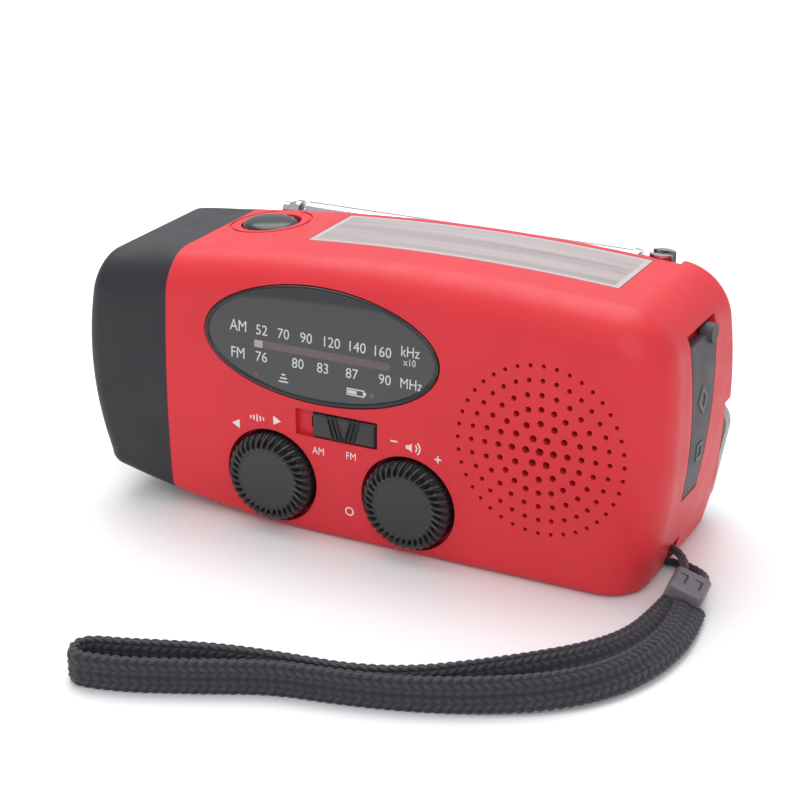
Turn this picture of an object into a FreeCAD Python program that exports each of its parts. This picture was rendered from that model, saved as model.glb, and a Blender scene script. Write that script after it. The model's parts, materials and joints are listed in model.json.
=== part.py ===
import FreeCAD, Part
import math
import os
import Sketcher

Vector = FreeCAD.Vector

# Hand-crank radio with torch, in millimetres. +Z is up, -Y is the front with the dial, +X runs to the
# socket end and -X to the torch. The origin is on the ground, under the middle of the bounding box.
# Each driving dimension is a cell of the sheet "Sizes".
DRIVING = [
    # casing
    ("body_half", 64.5, "half length of the casing"),
    ("body_height", 59.3, "height of the crown above the ground"),
    ("crown_place", 14.3, "X of the highest point of the crown"),
    ("crown_round", 450, "radius of the crown along X"),
    ("front_face", -26.3, "Y of the most forward line of the front face"),
    ("front_round", 240, "radius of the front face in the side view"),
    ("front_middle", 25, "height of the most forward line of the front face"),
    ("rear_face", 17.4, "Y of the back"),
    ("end_round", 110, "radius of the socket end in the front view"),
    ("torch_round", 80, "radius of the torch end in the front view"),
    ("end_middle", 33.5, "height of the widest place of both ends"),
    ("belly_start", -8, "X where the underside starts to rise towards the torch"),
    ("belly_round", 200, "radius of the rising underside"),
    ("shoulder", 11.5, "rounding of the crown into the socket end"),
    ("front_edge", 9, "rounding around the front face"),
    ("rear_edge", 4.5, "rounding around the back"),
    ("sole_edge", 3, "rounding around the underside"),
    ("torch_edge", 4, "rounding around the torch end"),
    ("casing_wall", 2, "wall of the casing"),
    ("split_face", 10.4, "Y where the front and rear shells meet"),
    ("head_face", -44.1, "X where the torch head meets the shells"),
    ("play", 0.2, "gap between pieces that sit together"),
    # dial, switch and knobs
    ("dial_place", -8.2, "X of the dial window"),
    ("dial_level", 42, "height of the dial window"),
    ("dial_wide", 26.4, "half width of the dial window"),
    ("dial_high", 11.9, "half height of the dial window"),
    ("pointer_travel", 29, "travel of the dial pointer"),
    ("tuning_place", -19.5, "X of the tuning knob"),
    ("volume_place", 11.6, "X of the volume knob"),
    ("knob_level", 12.1, "height of both knobs"),
    ("knob_round", 9.6, "outer radius of a knob"),
    ("knob_thick", 6, "thickness of a knob"),
    ("knob_front", -28.6, "Y of the face of a knob"),
    ("well_round", 10.4, "radius of the wells that the knobs turn in"),
    ("knob_notches", 36, "notches around a knob"),
    ("slot_left", -13.5, "left end of the band switch slot"),
    ("slot_right", 5, "right end of the band switch slot"),
    ("slot_low", 22.7, "lower edge of the band switch slot"),
    ("slot_high", 28.4, "upper edge of the band switch slot"),
    ("slot_deep", 1.4, "depth of the band switch slot"),
    ("slider_long", 14.4, "length of the band switch slider"),
    # speaker
    ("speaker_place", 39.8, "X of the speaker"),
    ("speaker_level", 29.1, "height of the speaker"),
    ("speaker_round", 18.6, "radius of the speaker frame"),
    ("grille_pitch", 2.865, "step between the rings of speaker holes"),
    # top
    ("button_place", -34.9, "X of the torch button"),
    ("button_back", 2.4, "Y of the torch button"),
    ("button_round", 6.2, "radius of the torch button"),
    ("button_travel", 1.2, "travel of the torch button"),
    ("dish_round", 8.6, "radius of the groove around the torch button"),
    ("panel_left", -19.6, "left edge of the solar panel"),
    ("panel_right", 48, "right edge of the solar panel"),
    ("panel_front", -9, "front edge of the solar panel"),
    ("panel_rear", 9.7, "rear edge of the solar panel"),
    ("panel_lip", 2.4, "width of the ledge under the panel cover"),
    # aerial
    ("aerial_back", 14.3, "Y of the folded aerial"),
    ("aerial_level", 55.8, "height of the folded aerial"),
    ("aerial_pivot", 48.4, "X of the aerial's hinge"),
    ("aerial_tip", -38, "X of the folded aerial's tip"),
    ("tube_round", 2.3, "radius of the largest aerial tube"),
    ("channel_floor", 52, "height of the ledge behind the crown"),
    ("channel_front", 11.4, "Y of the step in front of the aerial"),
    # crank and generator
    ("crank_place", 8.7, "X of the crank's shaft"),
    ("crank_level", 23.1, "height of the crank's shaft"),
    ("crank_reach", 45, "from the shaft to the grip"),
    ("crank_droop", 10, "angle of the folded arm below level, degrees"),
    ("arm_back", 18, "Y of the near face of the crank arm"),
    ("arm_thick", 4, "thickness of the crank arm"),
    ("grip_round", 5.7, "radius of the crank grip"),
    ("grip_long", 6.3, "length of the crank grip"),
    ("shaft_round", 2.5, "radius of the crank shaft"),
    ("crank_wheel", 14.2, "pitch radius of the crank gear"),
    ("idler_pinion", 2.84, "pitch radius of the small idler gear"),
    ("idler_wheel", 12, "pitch radius of the large idler gear"),
    ("motor_pinion", 2.4, "pitch radius of the generator's pinion"),
    # socket end
    ("cover_front", -10.2, "front edge of the socket cover"),
    ("cover_low", 17.5, "lower edge of the socket cover"),
    ("cover_high", 48.6, "upper edge of the socket cover"),
    ("cover_rear_low", -2.2, "rear edge of the cover at its lower end"),
    ("cover_rear_high", 4.2, "rear edge of the cover at its upper end"),
    # strap
    ("strap_wide", 6.6, "width of the braided strap"),
    ("strap_thick", 2.2, "thickness of the braided strap"),
    ("thread_round", 0.9, "radius of the thread loop"),
    ("bar_place", 58.4, "X of the bar that holds the thread"),
    ("bar_back", -6.7, "Y of the middle of that bar"),
    ("bar_level", 3.3, "height of that bar"),
]

doc = FreeCAD.newDocument("crank_radio")
sheet = doc.addObject("Spreadsheet::Sheet", "Sizes")
for row, (alias, number, note) in enumerate(DRIVING, start=1):
    sheet.set(f"A{row}", note)
    sheet.set(f"B{row}", str(number))
    sheet.setAlias(f"B{row}", alias)
doc.recompute()


class Size:
    """A length with the spreadsheet expression that it comes from."""

    def __init__(self, value, text):
        self.value = float(value)
        self.text = text

    def joined(self, sign, other, value):
        return Size(value, f"({self.text} {sign} {other.text})")

    def __add__(self, other):
        other = as_size(other)
        return self.joined("+", other, self.value + other.value)

    def __sub__(self, other):
        other = as_size(other)
        return self.joined("-", other, self.value - other.value)

    def __mul__(self, other):
        other = as_size(other)
        return self.joined("*", other, self.value * other.value)

    def __truediv__(self, other):
        other = as_size(other)
        return self.joined("/", other, self.value / other.value)

    def __radd__(self, other):
        return as_size(other) + self

    def __rsub__(self, other):
        return as_size(other) - self

    def __rmul__(self, other):
        return as_size(other) * self

    def __neg__(self):
        return Size(-self.value, f"(0 - {self.text})")


def as_size(value):
    return value if isinstance(value, Size) else Size(value, f"({float(value)})")


class Cells:
    """The sheet's cells as sizes: cells.casing_wall and so on."""

    def __init__(self, rows):
        for alias, number, _ in rows:
            setattr(self, alias, Size(number, f"Sizes.{alias}"))


cells = Cells(DRIVING)
real = {alias: float(sheet.get(alias)) for alias, _, _ in DRIVING}
parts = []                       # the sub-parts that are written, each one object of the document

# a gear tooth, in steps from one tooth to the next
TOOTH_HEAD = 0.2
TOOTH_FOOT = 0.35
TOOTH_FOOT_HALF = 0.22
TOOTH_TIP_HALF = 0.09

TURNS = {
    "x": FreeCAD.Rotation(Vector(0, 1, 0), 90),
    "-x": FreeCAD.Rotation(Vector(0, 1, 0), -90),
    "y": FreeCAD.Rotation(Vector(1, 0, 0), -90),
    "-y": FreeCAD.Rotation(Vector(1, 0, 0), 90),
    "z": FreeCAD.Rotation(),
}


def new(kind, label=None):
    """A document object: a named sub-part, or an unnamed construction step."""
    thing = doc.addObject(kind, label or "step")
    if label:
        thing.Label = label
        parts.append(thing)
    return thing


def place(thing, at, direction="z", spin=0):
    """Moves a piece to a point, its Z turned to a direction, after a spin about its own Z."""
    rotation = TURNS[direction].multiply(FreeCAD.Rotation(Vector(0, 0, 1), spin))
    thing.Placement = FreeCAD.Placement(Vector(), rotation)
    for letter, value in zip("xyz", at):
        thing.setExpression(f"Placement.Base.{letter}", as_size(value).text)


def box(low, high, label=None):
    thing = new("Part::Box", label)
    for name, start, end in zip(("Length", "Width", "Height"), low, high):
        thing.setExpression(name, (as_size(end) - as_size(start)).text)
    place(thing, low)
    return thing


def rod(at, direction, radius, length, label=None):
    thing = new("Part::Cylinder", label)
    thing.setExpression("Radius", as_size(radius).text)
    thing.setExpression("Height", as_size(length).text)
    place(thing, at, direction)
    return thing


def fuse(*pieces, label=None):
    thing = new("Part::MultiFuse", label)
    thing.Shapes = list(pieces)
    return thing


def cut(base, *tools, label=None):
    thing = new("Part::Cut", label)
    thing.Base = base
    thing.Tool = tools[0] if len(tools) == 1 else fuse(*tools)
    return thing


def made(shape, label):
    """A sub-part whose shape comes from Part's own functions."""
    thing = new("Part::Feature", label)
    thing.Shape = shape.removeSplitter()
    thing.Placement = FreeCAD.Placement()
    return thing


def plane_of(body, role):
    return next(item for item in body.Origin.OriginFeatures if item.Role == role)


def outline_sketch(body, points, role):
    """A closed outline whose corners are bound to the sheet."""
    sketch = body.newObject("Sketcher::SketchObject", body.Name + "_outline")
    sketch.AttachmentSupport = [(plane_of(body, role), "")]
    sketch.MapMode = "FlatFace"
    points = [(as_size(across), as_size(up)) for across, up in points]
    flat = [Vector(across.value, up.value, 0) for across, up in points]
    count = len(flat)
    for index in range(count):
        sketch.addGeometry(Part.LineSegment(flat[index], flat[(index + 1) % count]), False)
    for index in range(count):
        sketch.addConstraint(Sketcher.Constraint("Coincident", index, 2, (index + 1) % count, 1))
    for index, corner in enumerate(points):
        for kind, axis, value in zip(("DistanceX", "DistanceY"), (-2, -1), corner):
            if value.value == 0:
                sketch.addConstraint(Sketcher.Constraint("PointOnObject", index, 1, axis))
                continue
            number = sketch.addConstraint(Sketcher.Constraint(kind, -1, 1, index, 1, value.value))
            sketch.setExpression(f"Constraints[{number}]", value.text)
    return sketch


def turned(profile, at, direction, label):
    """A body of revolution: profile is (radius, height) along the direction."""
    body = new("PartDesign::Body", label)
    sketch = outline_sketch(body, profile, "XZ_Plane")
    doc.recompute()
    spin = body.newObject("PartDesign::Revolution", label + "_turn")
    spin.Profile = sketch
    spin.ReferenceAxis = (sketch, ["V_Axis"])
    spin.Angle = 360
    place(body, at, direction)
    return body


def patterned(body, tool, count):
    """Repeats a feature of a body evenly around its own Z axis."""
    pattern = body.newObject("PartDesign::PolarPattern", body.Name + "_pattern")
    pattern.Originals = [tool]
    pattern.Axis = (plane_of(body, "Z_Axis"), [""])
    pattern.Angle = 360
    pattern.setExpression("Occurrences", as_size(count).text)
    body.Tip = pattern


def gear(pitch_radius, teeth, thick, hole, at, label, spin=0):
    """A spur gear about Y with plain straight-sided teeth around a drilled disc."""
    step = 2 * math.pi * pitch_radius.value / teeth
    root = pitch_radius - step * TOOTH_FOOT
    tip = pitch_radius + step * TOOTH_HEAD
    body = turned([(hole, 0), (root, 0), (root, thick), (hole, thick)], at, "y", label)
    foot_half, tip_half = step * TOOTH_FOOT_HALF, step * TOOTH_TIP_HALF
    tooth = outline_sketch(body, [(root - step * TOOTH_HEAD, -foot_half), (tip, -tip_half),
                                  (tip, tip_half), (root - step * TOOTH_HEAD, foot_half)], "XY_Plane")
    doc.recompute()
    pad = body.newObject("PartDesign::Pad", label + "_tooth")
    pad.Profile = tooth
    pad.setExpression("Length", as_size(thick).text)
    doc.recompute()
    patterned(body, pad, teeth)
    place(body, at, "y", spin)


# ---------------------------------------------------------------- outer form of the casing

def prism(wire, direction):
    return Part.Face(wire).extrude(direction)


def closed(edges):
    return Part.Wire(Part.__sortEdges__(edges))


def arc(start, middle, end):
    return Part.Arc(start, middle, end).toShape()


def crown_height(x, inset=0.0):
    radius = real["crown_round"] - inset
    return real["body_height"] - real["crown_round"] + math.sqrt(radius ** 2 - (x - real["crown_place"]) ** 2)


def sole_height(x, inset=0.0):
    radius = real["belly_round"] - inset
    run = min(0.0, x - real["belly_start"])
    return real["belly_round"] - math.sqrt(radius ** 2 - run ** 2)


def end_reach(z, radius, inset=0.0):
    run = z - real["end_middle"]
    return real["body_half"] - radius + math.sqrt((radius - inset) ** 2 - run ** 2)


def casing(inset=0.0):
    """The outer form of the casing, or the same form smaller all round by inset."""
    far_left, far_right = -90.0, 80.0
    front, back, below, above = -45.0, 40.0, -30.0, 90.0
    # front view: crown above, ground and rising belly below
    top = arc(*[Vector(x, front, crown_height(x, inset)) for x in (far_left, 0.0, far_right)])
    belly_x = real["belly_start"]
    rise = arc(*[Vector(x, front, sole_height(x, inset)) for x in (far_left, -50.0, belly_x)])
    ground = Part.makeLine(Vector(belly_x, front, inset), Vector(far_right, front, inset))
    right = Part.makeLine(Vector(far_right, front, inset),
                          Vector(far_right, front, crown_height(far_right, inset)))
    left = Part.makeLine(Vector(far_left, front, sole_height(far_left, inset)),
                         Vector(far_left, front, crown_height(far_left, inset)))
    body = prism(closed([top, rise, ground, right, left]), Vector(0, back - front, 0))
    # front view again: the two bowed ends
    middle = real["end_middle"]
    sides = []
    for side, radius in ((1, real["end_round"]), (-1, real["torch_round"])):
        spots = [Vector(side * end_reach(z, radius, inset), front, z) for z in (below, middle, above)]
        sides.append(arc(*spots))
    lid = Part.makeLine(sides[0].Vertexes[-1].Point, sides[1].Vertexes[-1].Point)
    keel = Part.makeLine(sides[0].Vertexes[0].Point, sides[1].Vertexes[0].Point)
    body = body.common(prism(closed(sides + [lid, keel]), Vector(0, back - front, 0)))
    # side view: bowed front face and flat back
    radius = real["front_round"]

    def face_place(z):
        run = z - real["front_middle"]
        return real["front_face"] + radius - math.sqrt((radius - inset) ** 2 - run ** 2)

    bowed = arc(*[Vector(far_left, face_place(z), z) for z in (below, real["front_middle"], above)])
    rear = real["rear_face"] - inset
    corners = [bowed.Vertexes[0].Point, Vector(far_left, rear, below),
               Vector(far_left, rear, above), bowed.Vertexes[-1].Point]
    flat = [Part.makeLine(corners[i], corners[i + 1]) for i in range(3)]
    body = body.common(prism(closed([bowed] + flat), Vector(far_right - far_left, 0, 0)))
    return rounded(body, inset)


def all_along(edge, test):
    spots = [edge.valueAt(edge.FirstParameter + (edge.LastParameter - edge.FirstParameter) * share)
             for share in (0.1, 0.5, 0.9)]
    return all(test(spot) for spot in spots)


def rounded(body, inset):
    """Rounds the casing: shoulder first, then front, back, torch end and underside."""
    def fillet(shape, radius, test):
        edges = [edge for edge in shape.Edges if all_along(edge, test)]
        return shape.makeFillet(max(radius - inset, 0.6), edges)

    front_limit = real["front_face"] + 3.5 + inset
    rear_limit = real["rear_face"] - inset - 0.01
    body = fillet(body, real["shoulder"], lambda p: p.x > 50 and p.z > 40 and is_inner_y(p))
    body = fillet(body, real["front_edge"],
                  lambda p: p.y < front_limit and p.z > 5 + inset and p.x > -60)
    body = fillet(body, real["rear_edge"], lambda p: p.y > rear_limit and p.z > 5 + inset and p.x > -60)
    if inset > 0:
        return body                  # the last two edges are only rounded on the outside
    body = fillet(body, real["sole_edge"], lambda p: p.z < 8 + inset and p.x > -59.5 + inset)
    body = fillet(body, real["torch_edge"], lambda p: p.x < -58 + inset)
    return body


def is_inner_y(p):
    return real["front_face"] + 4 < p.y < real["rear_face"] - 3


def block(low, high):
    """A plain block between two corners."""
    size = [end - start for start, end in zip(low, high)]
    return Part.makeBox(*size, Vector(*low))


def post(at, direction, radius, length):
    return Part.makeCylinder(radius, length, Vector(*at), Vector(*direction))


def oval(across, up, half_wide, half_high, start, length):
    """An oval bar along Y."""
    ring = Part.Ellipse(Vector(across + half_wide, start, up), Vector(across, start, up + half_high),
                        Vector(across, start, up))
    return prism(Part.Wire(ring.toShape()), Vector(0, length, 0))


def polygon(points, direction):
    return prism(Part.makePolygon([Vector(*point) for point in points + points[:1]]), Vector(*direction))


wall = real["casing_wall"]
play = real["play"]
outer = casing()
inner = casing(wall)
skin = outer.cut(inner)
lining = casing(0.4).common(outer)    # inner ribs and bosses end just under the surface
split = real["split_face"]
head_x = real["head_face"]
FAR = 100.0

# ---------------------------------------------------------------- cuts that the casing pieces share
level = real["knob_level"]
front = real["front_face"]
dial = (real["dial_place"], real["dial_level"])
dial_hole = oval(*dial, real["dial_wide"] - 2, real["dial_high"] - 2, -40, 25)
dial_seat = oval(*dial, real["dial_wide"] + play, real["dial_high"] + play, -40, 25).cut(casing(1.5))
KNOB_PLACES = (real["tuning_place"], real["volume_place"])
well_floor = real["knob_front"] + real["knob_thick"] + 1.0
wells = [post((x, -40, level), (0, 1, 0), real["well_round"], 40 + well_floor) for x in KNOB_PLACES]
well_cups = [post((x, front + 1, level), (0, 1, 0), real["well_round"] + 1.2, well_floor + 0.2 - front)
             .common(lining) for x in KNOB_PLACES]
shaft_holes = [post((x, -40, level), (0, 1, 0), 2.0, 40) for x in KNOB_PLACES]
slot = block((real["slot_left"], -40, real["slot_low"]),
             (real["slot_right"], front + real["slot_deep"], real["slot_high"]))
stem_middle = (real["slot_low"] + real["slot_high"]) / 2
stem_slit = block((-10.5, -40, stem_middle - 1.2), (2.5, -20, stem_middle + 1.2))


def grille():
    """Drilled rings of speaker holes: holes per ring, smaller towards the rim."""
    holes = []
    counts = (1, 6, 12, 20, 24, 32, 40)
    for ring, count in enumerate(counts):
        radius = real["grille_pitch"] * ring
        hole = 0.81 - 0.063 * ring
        for step in range(count):
            angle = 2 * math.pi * step / count
            across = real["speaker_place"] + radius * math.cos(angle)
            up = real["speaker_level"] + radius * math.sin(angle)
            holes.append(post((across, -30, up), (0, 1, 0), hole, 10))
    return holes


panel_low = (real["panel_left"], real["panel_front"])
panel_high = (real["panel_right"], real["panel_rear"])


def panel_prism(grow):
    """An upright block with the panel's plan, larger all round by grow."""
    return block((panel_low[0] - grow, panel_low[1] - grow, 40), (panel_high[0] + grow, panel_high[1] + grow, 80))


lip = real["panel_lip"]
panel_seat = panel_prism(play).cut(casing(1.35))
panel_hole = panel_prism(play - lip)
button_at = (real["button_place"], real["button_back"])
crown_lean = math.degrees(math.atan((button_at[0] - real["crown_place"]) / -real["crown_round"]))
button_hole = post((*button_at, 45), (0, 0, 1), real["button_round"] + 0.25, 30)
dish_floor = Vector(*button_at, crown_height(button_at[0]))


def leaning(shape):
    """Tilts a shape made at the origin to lie on the crown at the torch button."""
    shape.rotate(Vector(), Vector(0, 1, 0), -crown_lean)
    shape.translate(dish_floor)
    return shape


dish_groove = leaning(Part.makeCylinder(real["dish_round"] + 0.3, 3, Vector(0, 0, -0.35))
                      .cut(Part.makeCylinder(real["dish_round"] - 0.3, 3, Vector(0, 0, -0.35))))
dish = leaning(Part.makeSphere(60, Vector(0, 0, 59.45)))
cover_slope = (real["cover_rear_high"] - real["cover_rear_low"]) / (real["cover_high"] - real["cover_low"])


def cover_prism(low, high, grow):
    """A bar along X with the plan of the socket cover between two heights, larger by grow."""
    def rear(z):
        return real["cover_rear_low"] + cover_slope * (z - real["cover_low"]) + grow
    near = real["cover_front"] - grow
    return polygon([(50, near, low), (50, rear(low), low), (50, rear(high), high), (50, near, high)], (30, 0, 0))


cover_box = cover_prism(real["cover_low"] - 0.5, real["cover_high"] + 2.4, 0.35)
cover_pocket = cover_box.cut(casing(2.2))
socket_wall = block((56, -12, 14.5), (63, 6.5, 53)).common(lining).cut(block((0, -12, 0), (59.2, 7, 60)))
usb_hole = block((50, -8.2, 21.8), (70, -4.6, 30.2))
dc_hole = post((50, -5.5, 41), (1, 0, 0), 2.9, 20)
strap_block = block((51, -13.5, 0.5), (63, -0.5, 9.5)).common(lining)
strap_notch = block((54.8, -9.8, -2), (70, -3.6, 6.4))
bar_hole = post((real["bar_place"], -13, real["bar_level"]), (0, 1, 0), 1.0, 12)
channel = block((-42, real["channel_front"], real["channel_floor"]), (53.2, 40, 80))
channel_wall = block((-44.1, real["channel_front"] - wall, real["channel_floor"] - wall),
                     (53.2 + wall, 40, 80)).common(lining)
aerial_line = (real["aerial_back"], real["aerial_level"])
aerial_way = post((-75, *aerial_line), (1, 0, 0), 2.6, 34)       # lets the tubes be drawn out past the torch
aerial_way_wall = post((-60, *aerial_line), (1, 0, 0), 2.6 + wall, 16).common(lining)
scoop = polygon([(62.2, 7, -5), (80, 7, -5), (80, 7, 34), (62.2, 7, 30)], (0, 30, 0))
scoop_wall = polygon([(59.6, 7, 0.5), (63.6, 7, 0.5), (63.6, 7, 35), (61.0, 7, 35)], (0, 12, 0)).common(lining)

SCREWS = [(-39.3, 9), (-39.3, 34), (56, 48), (50, 6.5)]
front_bosses = [post((x, front + 1, z), (0, 1, 0), 2.6, split - front - 1.1).common(lining) for x, z in SCREWS]
pilot_holes = [post((x, split - 12, z), (0, 1, 0), 1.0, 12.5) for x, z in SCREWS]
rear_bosses = [post((x, split + 0.1, z), (0, 1, 0), 2.8, 8).common(lining) for x, z in SCREWS]
screw_holes = [post((x, 0, z), (0, 1, 0), 1.25, 30) for x, z in SCREWS]
head_holes = [post((x, real["rear_face"] - 2.2, z), (0, 1, 0), 2.3, 10) for x, z in SCREWS]
crank_at = (real["crank_place"], real["crank_level"])
crank_hole = post((crank_at[0], 0, crank_at[1]), (0, 1, 0), 4.2, 30)
crank_boss = post((crank_at[0], 13.2, crank_at[1]), (0, 1, 0), 6.2, 3).common(lining)
aerial_at = (real["aerial_pivot"], real["aerial_back"])
aerial_hole = post((*aerial_at, 40), (0, 0, 1), 1.8, 20)
aerial_pocket = post((*aerial_at, real["channel_floor"] - wall - 4), (0, 0, 1), 2.45, 4)
head_region = block((-FAR, -FAR, -FAR), (head_x, FAR, FAR))
shell_region = block((head_x, -FAR, -FAR), (FAR, FAR, FAR))
front_region = block((-FAR, -FAR, -FAR), (FAR, split, FAR))
rear_region = block((-FAR, split, -FAR), (FAR, FAR, FAR))

# fine grooves where the front shell, the rear shell and the torch head meet
seams = outer.cut(casing(0.5)).common(Part.makeCompound([
    block((head_x, split - 0.2, -FAR), (FAR, split + 0.2, FAR)),
    block((head_x - 0.25, -FAR, -FAR), (head_x + 0.25, FAR, FAR))]))

front_shell = skin.common(shell_region).common(front_region)
front_shell = front_shell.fuse([socket_wall, strap_block] + well_cups + front_bosses)
front_shell = front_shell.cut([seams, dial_seat, dial_hole, slot, stem_slit, panel_seat, panel_hole, button_hole,
                               dish_groove, dish, cover_pocket, usb_hole, dc_hole, strap_notch, bar_hole]
                              + wells + shaft_holes + pilot_holes + grille())
made(front_shell, "front_shell")

rear_shell = skin.common(shell_region).fuse([channel_wall.common(shell_region), scoop_wall, crank_boss])
rear_shell = rear_shell.common(rear_region).fuse(rear_bosses)
rear_shell = rear_shell.cut([seams, channel, aerial_way, scoop, crank_hole, aerial_hole, aerial_pocket, panel_seat]
                            + screw_holes + head_holes)
made(rear_shell, "rear_shell")

# ---------------------------------------------------------------- torch
lens_place = (-4.5, 31)                       # Y and height of the middle of the lens
lens_half = (14.5, 17.5)


def end_oval(grow, start, length):
    """An oval bar along X through the torch end."""
    middle = Vector(start, *lens_place)
    tall, wide = lens_half[1] + grow, lens_half[0] + grow
    ring = Part.Ellipse(middle + Vector(0, 0, tall), middle + Vector(0, wide, 0), middle)
    return prism(Part.Wire(ring.toShape()), Vector(length, 0, 0))


head_skin = skin.common(head_region)
head_rim = end_oval(3.0, -63.5, 4.5).common(lining)
torch_head = head_skin.fuse([head_rim, aerial_way_wall.common(head_region)])
torch_head = torch_head.cut([seams, aerial_way, end_oval(play, -63.0, 10), end_oval(-1.5, -80, 40)])
made(torch_head, "torch_head")

lens = end_oval(0.0, -62.9, 1.6)
made(lens, "torch_lens")

leds_at = [(lens_place[0], lens_place[1] + rise) for rise in (10.5, 0.0, -10.5)]
reflector = end_oval(-0.6, -61.1, 7.0)
cups = [Part.makeCone(5.2, 2.7, 6.0, Vector(-61.1, y, z), Vector(1, 0, 0)) for y, z in leds_at]
led_holes = [post((-62, y, z), (1, 0, 0), 2.7, 10) for y, z in leds_at]
made(reflector.cut(cups + led_holes), "torch_reflector")


def led(y, z):
    """A 5 mm diode facing -X, with its flange on the board."""
    stem = post((-58.0, y, z), (1, 0, 0), 2.4, 4.2)
    dome = Part.makeSphere(2.4, Vector(-58.0, y, z))
    flange = post((-53.9, y, z), (1, 0, 0), 2.6, 0.9)
    return stem.fuse([dome, flange]).removeSplitter()


made(Part.makeCompound([led(y, z) for y, z in leds_at]), "torch_leds")
box((-52.9, -12.5, 15), (-51.3, 3.5, 47), label="torch_board")

# torch button and its switch
turned([(0, 0), (cells.button_round, 0), (cells.button_round, 7.2), (5.2, 8.6), (3.2, 9.5), (0, 9.9)],
       (cells.button_place, cells.button_back, 47.6), "z", "torch_button")
switch_case = box((cells.button_place - 4, cells.button_back - 4, 38),
                  (cells.button_place + 4, cells.button_back + 4, 43.6))
switch_pin = rod((cells.button_place, cells.button_back, 43.6), "z", 1.6, 2.6)
fuse(switch_case, switch_pin, label="torch_switch")

# ---------------------------------------------------------------- dial
window = oval(*dial, real["dial_wide"], real["dial_high"], -40, 25).common(outer).cut(casing(1.3))
made(window, "dial_window")
scale = oval(*dial, real["dial_wide"] - 2.4, real["dial_high"] - 2.4, -22.6, 0.8)
made(scale, "dial_scale")
pointer_start = real["dial_place"] - real["pointer_travel"] / 2
pointer_blade = box((pointer_start - 0.8, -23.5, 36), (pointer_start + 0.8, -23.0, 48))
pointer_foot = box((pointer_start - 2.2, -23.5, 33.8), (pointer_start + 2.2, -23.0, 36))
fuse(pointer_blade, pointer_foot, label="dial_pointer")

# ---------------------------------------------------------------- knobs and the parts that they turn


def knob(across, label):
    """A notched knob whose local Z runs from its back, inside, to its face."""
    thick = cells.knob_thick
    body = turned([(1.5, 0), (cells.knob_round - 0.5, 0), (cells.knob_round - 0.5, 1.6), (cells.knob_round, 2.1),
                   (cells.knob_round, thick - 1.2), (cells.knob_round - 1.1, thick), (0, thick),
                   (0, thick - 1.8), (1.5, thick - 1.8)],
                  (across, cells.knob_front + thick, cells.knob_level), "-y", label)
    notch = outline_sketch(body, [(cells.knob_round - 1.6, 0), (cells.knob_round + 0.6, 0.55),
                                  (cells.knob_round + 0.6, -0.55)], "XY_Plane")
    doc.recompute()
    before = body.Shape.Volume
    groove = body.newObject("PartDesign::Pocket", label + "_notch")
    groove.Profile = notch
    groove.Reversed = True
    groove.setExpression("Length", thick.text)
    doc.recompute()
    if body.Shape.Volume >= before:
        raise RuntimeError(label + ": the notch cuts nothing")
    patterned(body, groove, cells.knob_notches)


knob(cells.tuning_place, "tuning_knob")
knob(cells.volume_place, "volume_knob")
for across, label in ((cells.tuning_place, "tuning_shaft"), (cells.volume_place, "volume_shaft")):
    rod((across, cells.knob_front + 1.9, cells.knob_level), "y", 1.47, 14.6, label=label)


def rotary(across, half_wide, low, high, deep, label):
    """A rotary part behind the board, bored for its shaft, with a collar through the board."""
    case = box((across - half_wide, -11.2, low), (across + half_wide, -11.2 + deep, high))
    collar = rod((across, -14.6, cells.knob_level), "y", 3.4, 3.6)
    bore = rod((across, -20, cells.knob_level), "y", 1.55, 11)
    cut(fuse(case, collar), bore, label=label)


rotary(cells.tuning_place, 9.5, 3.4, 21.5, 9, "tuning_capacitor")
rotary(cells.volume_place, 7.5, 4.5, 19.5, 6, "volume_control")

# ---------------------------------------------------------------- band switch
slider_face = box((cells.slot_right - 0.2 - cells.slider_long, cells.front_face - 1.0, cells.slot_low + play),
                  (cells.slot_right - 0.2, cells.front_face + 1.1, cells.slot_high - play))
stem_x = cells.slot_right - 0.2 - cells.slider_long / 2
slider_stem = box((stem_x - 1.5, cells.front_face + 1.1, stem_middle - 0.9), (stem_x + 1.5, -18.0, stem_middle + 0.9))
fuse(slider_face, slider_stem, label="band_slider")
switch_box = box((-11, -19.6, 22.9), (4, -13.2, 28.2))
switch_gap = box((-9.2, -25, stem_middle - 1.3), (2.2, -15.5, stem_middle + 1.3))
cut(switch_box, switch_gap, label="band_switch")

# ---------------------------------------------------------------- speaker
radius = cells.speaker_round
at = (cells.speaker_place, -22.8, cells.speaker_level)
turned([(radius - 2.6, 0), (radius, 0), (radius, 1.6), (radius - 2.2, 2.0), (10.4, 8.2), (9.2, 8.2), (9.2, 7.2),
        (9.9, 7.2), (radius - 2.9, 1.4)], at, "y", "speaker_frame")
turned([(0, 3.2), (3.6, 1.9), (4.2, 4.4), (radius - 3.4, 0.5), (radius - 3.2, 1.0), (4.6, 5.4), (4.0, 7.6),
        (3.4, 7.6), (3.4, 4.2), (0, 3.8)], at, "y", "speaker_cone")
turned([(4.6, 8.4), (9.8, 8.4), (9.8, 13.2), (0, 13.2), (0, 12.2), (4.6, 12.2)], at, "y", "speaker_magnet")

# ---------------------------------------------------------------- solar panel
cover = panel_prism(0).common(outer).cut(casing(1.2)).common(block((-FAR, -FAR, 50), (FAR, FAR, FAR)))
made(cover, "solar_cover")
cell = panel_prism(-lip - 0.2).common(casing(1.35)).cut(casing(2.0)).common(block((-FAR, -FAR, 50), (FAR, FAR, FAR)))
made(cell, "solar_cell")

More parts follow.
